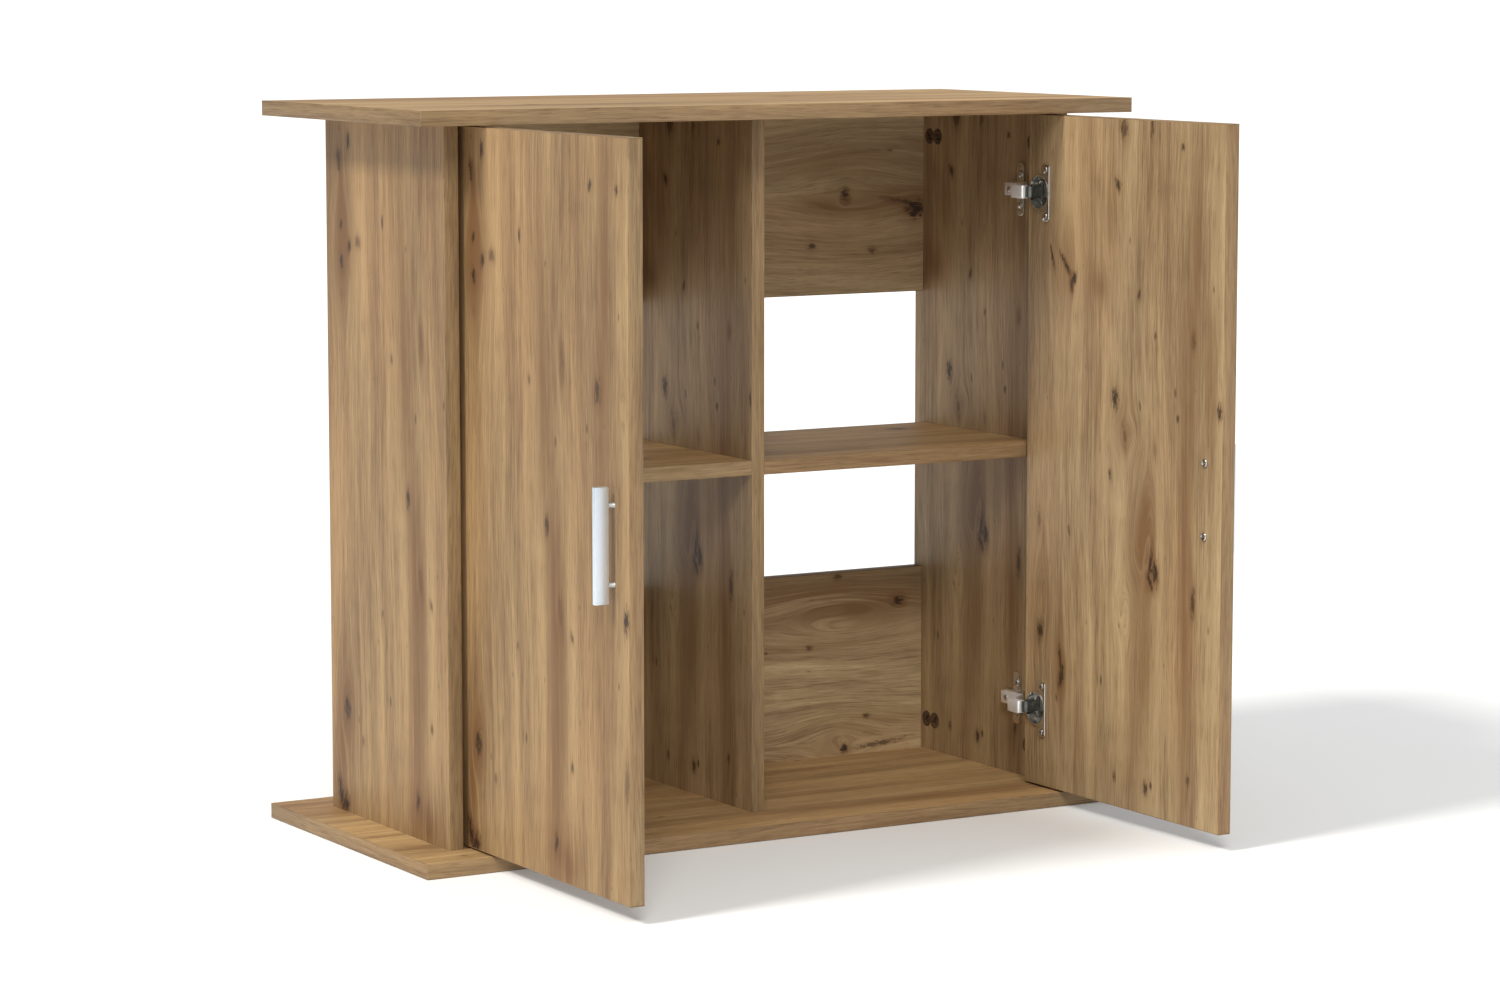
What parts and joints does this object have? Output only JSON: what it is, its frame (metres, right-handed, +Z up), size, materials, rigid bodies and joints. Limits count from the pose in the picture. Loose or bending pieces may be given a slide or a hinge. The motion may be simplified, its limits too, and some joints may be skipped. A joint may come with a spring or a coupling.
{
  "type": "aquarium stand cabinet",
  "caption": "Cupboard stand for an aquarium: overhanging top and base boards, a divided and shelved inside with an open strip at the back, and inset doors on concealed hinges.",
  "frame": {"origin": "centre of the bottom board's underside, where the stand meets the floor", "axes": "+X to the right of somebody facing the doors, -Y to the front, +Z up"},
  "size_m": [0.81, 0.6356, 0.73],
  "materials": {
    "oak_laminate": "matt oak-print laminate with knots",
    "handle_aluminium": "satin",
    "nickel": "bright nickel plating",
    "dark_steel": "dark, slightly oily steel",
    "screw_steel": "zinc plated",
    "brown_plastic": "matt"
  },
  "bodies": {
    "cabinet": {"top_board": "oak_laminate", "bottom_board": "oak_laminate", "back_panel_upper": "oak_laminate", "back_panel_lower": "oak_laminate", "divider": "oak_laminate", "side_panel_right": "oak_laminate", "shelf_right": "oak_laminate", "panel_connector_right_top_front": "brown_plastic", "panel_connector_right_top_rear": "brown_plastic", "panel_connector_right_bottom_front": "brown_plastic", "panel_connector_right_bottom_rear": "brown_plastic", "hinge_link_right_lower": "dark_steel", "hinge_arm_right_lower": "nickel", "hinge_plate_right_lower": "nickel", "plate_screw_right_lower_lower": "screw_steel", "plate_screw_right_lower_upper": "screw_steel", "hinge_link_right_upper": "dark_steel", "hinge_arm_right_upper": "nickel", "hinge_plate_right_upper": "nickel", "plate_screw_right_upper_lower": "screw_steel", "plate_screw_right_upper_upper": "screw_steel", "side_panel_left": "oak_laminate", "shelf_left": "oak_laminate", "panel_connector_left_top_front": "brown_plastic", "panel_connector_left_top_rear": "brown_plastic", "panel_connector_left_bottom_front": "brown_plastic", "panel_connector_left_bottom_rear": "brown_plastic", "hinge_link_left_lower": "dark_steel", "hinge_arm_left_lower": "nickel", "hinge_plate_left_lower": "nickel", "plate_screw_left_lower_lower": "screw_steel", "plate_screw_left_lower_upper": "screw_steel", "hinge_link_left_upper": "dark_steel", "hinge_arm_left_upper": "nickel", "hinge_plate_left_upper": "nickel", "plate_screw_left_upper_lower": "screw_steel", "plate_screw_left_upper_upper": "screw_steel"},
    "door_right": {"door_right": "oak_laminate", "handle_right": "handle_aluminium", "handle_screw_right_lower": "screw_steel", "handle_screw_right_upper": "screw_steel", "hinge_cup_right_lower": "nickel", "cup_screw_right_lower_lower": "screw_steel", "cup_screw_right_lower_upper": "screw_steel", "hinge_cup_right_upper": "nickel", "cup_screw_right_upper_lower": "screw_steel", "cup_screw_right_upper_upper": "screw_steel"},
    "door_left": {"door_left": "oak_laminate", "handle_left": "handle_aluminium", "handle_screw_left_lower": "screw_steel", "handle_screw_left_upper": "screw_steel", "hinge_cup_left_lower": "nickel", "cup_screw_left_lower_lower": "screw_steel", "cup_screw_left_lower_upper": "screw_steel", "hinge_cup_left_upper": "nickel", "cup_screw_left_upper_lower": "screw_steel", "cup_screw_left_upper_upper": "screw_steel"}
  },
  "joints": [
    {"name": "door_right_hinge", "type": "hinge", "parent": "cabinet", "child": "door_right", "pos_m": [0.3305, -0.1266, 0.365], "axis": [0, 0, 1], "range_deg": [-90, 15]},
    {"name": "door_left_hinge", "type": "hinge", "parent": "cabinet", "child": "door_left", "pos_m": [-0.3305, -0.1266, 0.365], "axis": [0, 0, 1], "range_deg": [-15, 90]}
  ]
}
